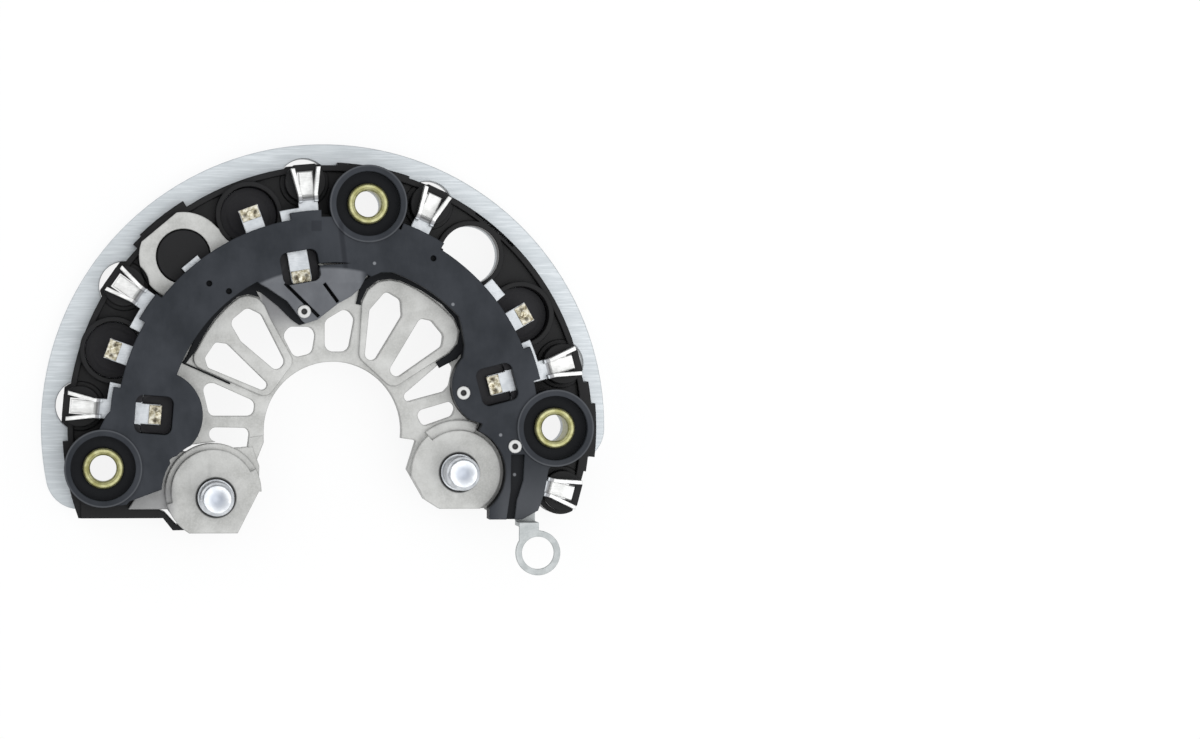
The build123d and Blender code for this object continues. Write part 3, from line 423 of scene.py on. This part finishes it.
# Sense terminal: the same strip, thinner, bent up beside the block's leg. Its tin is a darker,
# rougher copy of the strip's tin, the darker colour painted shade, with the ring's faces rubbed
# where a screw head turned
shaded_tin_copy, shader, place = new_finish("shaded_tin_copy", 0.7)
cloudy = place.noise(380, 4.0, 0.6)
turned_face = place.from_axis(48.8, -29.1)
swirls = turned_face.sum("SINE", turned_face * 9.0) * 0.5 + 0.5
coat(
    shader,
    # Painted shade: this tin is painted darker than the conductors' tin
    cloudy.step(0.3, 0.7).blend((0.38, 0.40, 0.40, 1), (0.52, 0.54, 0.54, 1)),
    0.48 + 0.2 * cloudy,
    (swirls * 0.4 + cloudy * 0.6).relief(0.00003, 0.0003),
)
dress(shaded_tin_copy, "tinned_strip", "sense_terminal")

# Welds: each diode's lead is flattened on its tab by two electrodes. The strip has gone golden
# brown there, and each electrode has left a dimple, painted dark partly as scorch and partly as
# painted shade
burnt_weld, shader, place = new_finish("burnt_weld", 0.6)
heat = place.noise(900, 4.0, 0.65)
burr = place.noise(2400, 2.0)
weld_places = [(53.6, 30), (53.6, 110), (53.6, 160), (40.7, 14.5), (36.2, 100.0), (40.7, 175.5)]
electrode_reach = 1.3
electrode_axes = [
    spot(math.hypot(radius, electrode_reach), angle + side * math.degrees(electrode_reach / radius))
    for radius, angle in weld_places
    for side in (-1, 1)
]
# Scorch and painted shade: the electrode dimples are painted dark brown
electrode_scorch_and_shade = nearest(place, electrode_axes).fade(0.15, 0.75)
coat(
    shader,
    (electrode_scorch_and_shade * (0.5 + 0.6 * burr)).blend(scorched(place), (0.05, 0.04, 0.025, 1)),
    0.34 + 0.3 * burr,
    (heat * 0.6 + burr * 0.4).relief(0.00012, 0.0002),
)
tab_top = 15.4
weld_length = 2.9
weld_width = 4.4
weld_height = 0.36
dimple_rings = (0.62, 0.36)
dimple_step = 0.11
burr_height = 0.05
weld_rounding = 0.12
bpy.ops.mesh.primitive_cube_add(size=0.001, location=(0, 0, 0))
weld = bpy.context.object
bpy.ops.transform.resize(value=(weld_length, weld_width, weld_height))
bpy.ops.object.transform_apply(location=True, rotation=True, scale=True)
bpy.ops.object.mode_set(mode="EDIT")
bpy.ops.mesh.subdivide(number_cuts=11)
bpy.ops.object.mode_set(mode="OBJECT")
for side in (-1, 1):
    for edge in dimple_rings:
        for corner in weld.data.vertices:
            reach = math.hypot(corner.co.x * 1000, corner.co.y * 1000 - side * electrode_reach)
            corner.select = corner.co.z > 0 and reach < edge
        bpy.ops.object.mode_set(mode="EDIT")
        bpy.ops.mesh.select_mode(type="VERT")
        bpy.ops.transform.translate(value=(0, 0, -dimple_step / 1000))
        bpy.ops.mesh.select_all(action="DESELECT")
        bpy.ops.object.mode_set(mode="OBJECT")
bpy.ops.object.mode_set(mode="EDIT")
bpy.ops.mesh.select_all(action="SELECT")
bpy.ops.transform.vertex_random(offset=burr_height / 1000, seed=4)
bpy.ops.mesh.normals_make_consistent(inside=False)
bpy.ops.object.mode_set(mode="OBJECT")
bpy.ops.object.modifier_add(type="BEVEL")
weld.modifiers["Bevel"].width = weld_rounding / 1000
weld.modifiers["Bevel"].segments = 2
weld.modifiers["Bevel"].angle_limit = math.radians(60)
bpy.ops.object.modifier_apply(modifier="Bevel")
bpy.ops.object.shade_smooth_by_angle(angle=math.radians(40))
weld.data.materials.append(burnt_weld)
for number, (radius, angle) in enumerate(weld_places, 1):
    x, y = spot(radius, angle)
    bead = weld.copy()
    bead.data = weld.data.copy()
    bead.name = f"diode_weld_{number}"
    bpy.context.collection.objects.link(bead)
    bead.location = (x / 1000, y / 1000, (tab_top + weld_height * 0.4) / 1000)
    bead.rotation_euler = (0, 0, math.radians(angle))
    bpy.ops.object.select_all(action="DESELECT")
    bead.select_set(True)
    bpy.context.view_layer.objects.active = bead
    bpy.ops.object.transform_apply(location=True, rotation=True, scale=True)
    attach(bead, "root")
bpy.data.objects.remove(weld)

# Window floors: the same potting is poured into the block's windows, under the tabs of the
# positive diodes, and it creeps up over the conductors' bars on both sides of each tab
sink_face = 13.2
floor_rise = 0.02
floor_height = 0.75
lip_rise = 0.3
lip_top = 15.9
lip_width = 2.3
lip_offset = 3.7
lip_overhang = 0.15
lip_into_block = 0.3
wall_gap = 0.1
floor_rounding = 1.6
lip_rounding = 0.5
bar_inner_radius = 44.0
windows = [(41.0, 14.5, 8.8), (38.4, 100.0, 7.6), (41.0, 175.5, 8.8)]
window_width = 9.0
for number, (middle, angle, length) in enumerate(windows, 1):
    floor_length = length - wall_gap
    floor_width = window_width - wall_gap
    floor_bottom = sink_face + floor_rise
    pieces = [(0.0, 0.0, floor_length, floor_width, floor_bottom, sink_face + floor_height)]
    if middle + length / 2 > bar_inner_radius:
        start = bar_inner_radius - middle - lip_overhang
        end = length / 2 + lip_into_block
        lip_middle = (start + end) / 2
        lip_bottom = sink_face + lip_rise
        for side in (-1, 1):
            pieces.append(
                (lip_middle, side * lip_offset, end - start, lip_width, lip_bottom, lip_top)
            )
    made = []
    for along, across, size_x, size_y, low, high in pieces:
        bpy.ops.object.select_all(action="DESELECT")
        bpy.ops.mesh.primitive_cube_add(size=0.001, location=(0, 0, 0))
        block = bpy.context.object
        bpy.ops.transform.resize(value=(size_x, size_y, high - low))
        bpy.ops.object.transform_apply(location=True, rotation=True, scale=True)
        bpy.ops.object.mode_set(mode="EDIT")
        bpy.ops.mesh.select_mode(type="EDGE")
        bpy.ops.mesh.select_all(action="DESELECT")
        bpy.ops.object.mode_set(mode="OBJECT")
        for edge in block.data.edges:
            first, second = (block.data.vertices[n].co for n in edge.vertices)
            edge.select = abs(first.z - second.z) > 0.0001
        bpy.ops.object.mode_set(mode="EDIT")
        rounding = floor_rounding if along == 0 else lip_rounding
        bpy.ops.mesh.bevel(offset=rounding / 1000, segments=5, affect="EDGES")
        bpy.ops.object.mode_set(mode="OBJECT")
        bpy.ops.transform.translate(value=(along / 1000, across / 1000, (low + high) / 2000))
        bpy.ops.object.transform_apply(location=True, rotation=True, scale=True)
        made.append(block)
    for block in made:
        block.select_set(True)
    bpy.context.view_layer.objects.active = made[0]
    if len(made) > 1:
        bpy.ops.object.join()
    floor = bpy.context.object
    x, y = spot(middle, angle)
    floor.location = (x / 1000, y / 1000, 0)
    floor.rotation_euler = (0, 0, math.radians(angle))
    bpy.ops.object.transform_apply(location=True, rotation=True, scale=True)
    bpy.ops.object.shade_smooth_by_angle(angle=math.radians(40))
    floor.name = f"window_floor_{number}"
    floor.data.materials.append(potting_resin)
    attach(floor, "root")

# Mounting bushes: brass sleeves turned from bar, with a faint chromate bloom of yellow
# and green
chromated_brass, shader, place = new_finish("chromated_brass", 0.75)
bloom = place.noise(520, 3.0)
facing = nearest(place, bush_axes)
faced = facing.sum("SINE", facing * 22.0) * 0.5 + 0.5
# The brass is darker towards the sleeve's outer edge
outer_edge_darkening = facing.step(4.2, 4.8)
# Painted shade: a dark ring at the edge of the bore's chamfer, where the inner wall lies in shade
chamfer_painted_shade = facing.step(3.45, 3.65) * facing.fade(3.75, 3.95)
coat(
    shader,
    (outer_edge_darkening * 0.5 + chamfer_painted_shade * 0.55).blend(
        bloom.step(0.3, 0.7).blend((0.27, 0.26, 0.10, 1), (0.50, 0.49, 0.27, 1)),
        (0.10, 0.09, 0.03, 1),
    ),
    0.30 + 0.16 * bloom,
    (faced * 0.5 + bloom * 0.5).relief(0.00001, 0.0004),
)
dress(chromated_brass, "bush_brass", "mounting_bush_1", "mounting_bush_2", "mounting_bush_3")

# Terminal studs: cold-headed steel with a rolled M8 thread, zinc plated bright and pressed
# in from the rear. The header left a round dimple in the end of each
bright_zinc, shader, place = new_finish("bright_zinc", 0.8)
bath = place.noise(600, 3.0)
to_middle = nearest(place, stud_axes)
# Painted shade: the end dimple is painted a darker blue grey than the zinc round it
dimple = to_middle.fade(1.0, 2.8) * place.part("Z").step(23.5, 24.0)
zinc = bath.step(0.3, 0.7).blend((0.56, 0.58, 0.61, 1), (0.78, 0.80, 0.82, 1))
coat(
    shader,
    (dimple * (0.5 + 0.6 * bath)).blend(zinc, (0.34, 0.37, 0.43, 1)),
    0.3 + 0.2 * bath,
    bath.relief(0.00003, 0.0003),
)
head_radius = 5.6
head_bottom = 7.7
head_height = 1.8
shank_radius = 4.3
shank_height = 6.0
thread_radius = 4.0
thread_root = 3.35
thread_pitch = 1.25
thread_turns = 6.5
thread_start = 16.3
thread_flank = 0.6
thread_sink = 0.2
thread_steps = 312
stud_top = 25.5
stud_chamfer = 0.8
dimple_radius = 1.9
dimple_depth = 0.35
bpy.ops.object.select_all(action="DESELECT")
bpy.ops.mesh.primitive_cylinder_add(
    vertices=64,
    radius=head_radius / 1000,
    depth=head_height / 1000,
    location=(0, 0, (head_bottom + head_height / 2) / 1000),
)
stud = bpy.context.object
bpy.ops.object.transform_apply(location=True, rotation=True, scale=True)
bpy.ops.object.mode_set(mode="EDIT")
bpy.ops.mesh.select_mode(type="FACE")
bpy.ops.mesh.select_all(action="DESELECT")
bpy.ops.object.mode_set(mode="OBJECT")
for face in stud.data.polygons:
    face.select = face.normal.z > 0.9
bpy.ops.object.mode_set(mode="EDIT")
thread_bottom = head_bottom + head_height + shank_height
for inset, rise in [
    (head_radius - shank_radius, shank_height),
    (shank_radius - thread_root, stud_top - stud_chamfer - thread_bottom),
]:
    bpy.ops.mesh.inset(thickness=inset / 1000)
    bpy.ops.mesh.extrude_region_move(TRANSFORM_OT_translate={"value": (0, 0, rise / 1000)})
bpy.ops.mesh.extrude_region_move(TRANSFORM_OT_translate={"value": (0, 0, stud_chamfer / 1000)})
chamfered = (thread_radius - stud_chamfer) / thread_root
bpy.ops.transform.resize(value=(chamfered, chamfered, 1))
bpy.ops.mesh.inset(thickness=(thread_radius - stud_chamfer - dimple_radius) / 1000)
bpy.ops.mesh.extrude_region_move(TRANSFORM_OT_translate={"value": (0, 0, -dimple_depth / 1000)})
bpy.ops.transform.resize(value=(0.5, 0.5, 1))
bpy.ops.object.mode_set(mode="OBJECT")
bpy.ops.object.select_all(action="DESELECT")
bpy.ops.mesh.primitive_circle_add(
    vertices=3, radius=0.0005, fill_type="NOTHING", location=(0, 0, 0)
)
ridge = bpy.context.object
inside = (thread_root - thread_sink) / 1000
for corner, place_at in zip(
    ridge.data.vertices,
    [
        (inside, 0, (thread_start - thread_flank) / 1000),
        (thread_radius / 1000, 0, thread_start / 1000),
        (inside, 0, (thread_start + thread_flank) / 1000),
    ],
):
    corner.co = place_at
bpy.ops.object.modifier_add(type="SCREW")
winding = ridge.modifiers["Screw"]
winding.angle = math.radians(360 * thread_turns)
winding.screw_offset = thread_pitch * thread_turns / 1000
winding.steps = winding.render_steps = thread_steps
winding.use_smooth_shade = False
bpy.ops.object.modifier_apply(modifier="Screw")
bpy.ops.object.mode_set(mode="EDIT")
bpy.ops.mesh.select_mode(type="EDGE")
bpy.ops.mesh.select_all(action="DESELECT")
bpy.ops.mesh.select_non_manifold()
bpy.ops.mesh.fill()
bpy.ops.mesh.select_all(action="SELECT")
bpy.ops.mesh.normals_make_consistent(inside=False)
bpy.ops.object.mode_set(mode="OBJECT")
stud.select_set(True)
bpy.context.view_layer.objects.active = stud
bpy.ops.object.join()
bpy.ops.object.shade_smooth_by_angle(angle=math.radians(35))
stud.data.materials.append(bright_zinc)
for number, (x, y) in enumerate(stud_axes, 1):
    threaded = stud.copy()
    threaded.data = stud.data.copy()
    threaded.name = f"threaded_stud_{number}"
    bpy.context.collection.objects.link(threaded)
    threaded.location = (x / 1000, y / 1000, 0)
    bpy.ops.object.select_all(action="DESELECT")
    threaded.select_set(True)
    bpy.context.view_layer.objects.active = threaded
    bpy.ops.object.transform_apply(location=True, rotation=True, scale=True)
    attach(threaded, "root")
    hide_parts(f"terminal_stud_{number}")
bpy.data.objects.remove(stud)

# The studio: the rectifier lies on a white table, seen from above and a little from its
# left, as the photograph shows it. The light is soft, and strongest at the lower right
bpy.ops.mesh.primitive_plane_add(size=6.0, location=(0, 0, 0))
table = bpy.context.object
table.name = "table"
white_table, shader, place = new_finish("white_table", 0.0)
shader.inputs["Base Color"].default_value = (0.92, 0.92, 0.92, 1)
shader.inputs["Roughness"].default_value = 0.9
tree = white_table.node_tree
rays = tree.nodes.new("ShaderNodeLightPath")
seen = Shade(rays.outputs["Is Camera Ray"]) + Shade(rays.outputs["Is Glossy Ray"])
glow = tree.nodes.new("ShaderNodeEmission")
glow.inputs["Color"].default_value = (1, 1, 1, 1)
cover = tree.nodes.new("ShaderNodeMixShader")
table_glow = 0.88
tree.links.new((seen * table_glow).socket, cover.inputs[0])
tree.links.new(shader.outputs[0], cover.inputs[1])
tree.links.new(glow.outputs[0], cover.inputs[2])
tree.links.new(cover.outputs[0], tree.nodes["Material Output"].inputs["Surface"])
table.data.materials.append(white_table)

world = bpy.data.worlds.new("studio")
world.use_nodes = True
bpy.context.scene.world = world
sky = world.node_tree.nodes["Background"]
sky.inputs["Color"].default_value = (0.97, 0.985, 1.0, 1)
sky.inputs["Strength"].default_value = 0.72

for name, spot_at, turn, size, power in [
    ("key_lamp", (0.42, -0.22, 1.0), (0.208, 0.391, 0.0), 1.2, 6.6),
    ("fill_lamp", (-0.7, 0.5, 0.9), (-0.46, -0.62, 0.0), 1.0, 2.5),
]:
    bpy.ops.object.light_add(type="AREA", location=spot_at, rotation=turn)
    lamp = bpy.context.object
    lamp.name = name
    lamp.data.size = size
    lamp.data.energy = power

bpy.ops.object.camera_add(
    location=(-0.05311, 0.02048, 0.77728),
    rotation=(math.radians(-0.5055), math.radians(-4.5551), math.radians(0.0375)),
)
camera = bpy.context.object
camera.data.lens = 97.386
camera.data.sensor_width = 36.0
camera.data.sensor_fit = "HORIZONTAL"
camera.data.shift_x = 0.2
camera.data.clip_start = 0.01
bpy.context.scene.camera = camera
bpy.context.scene.view_settings.view_transform = "Standard"
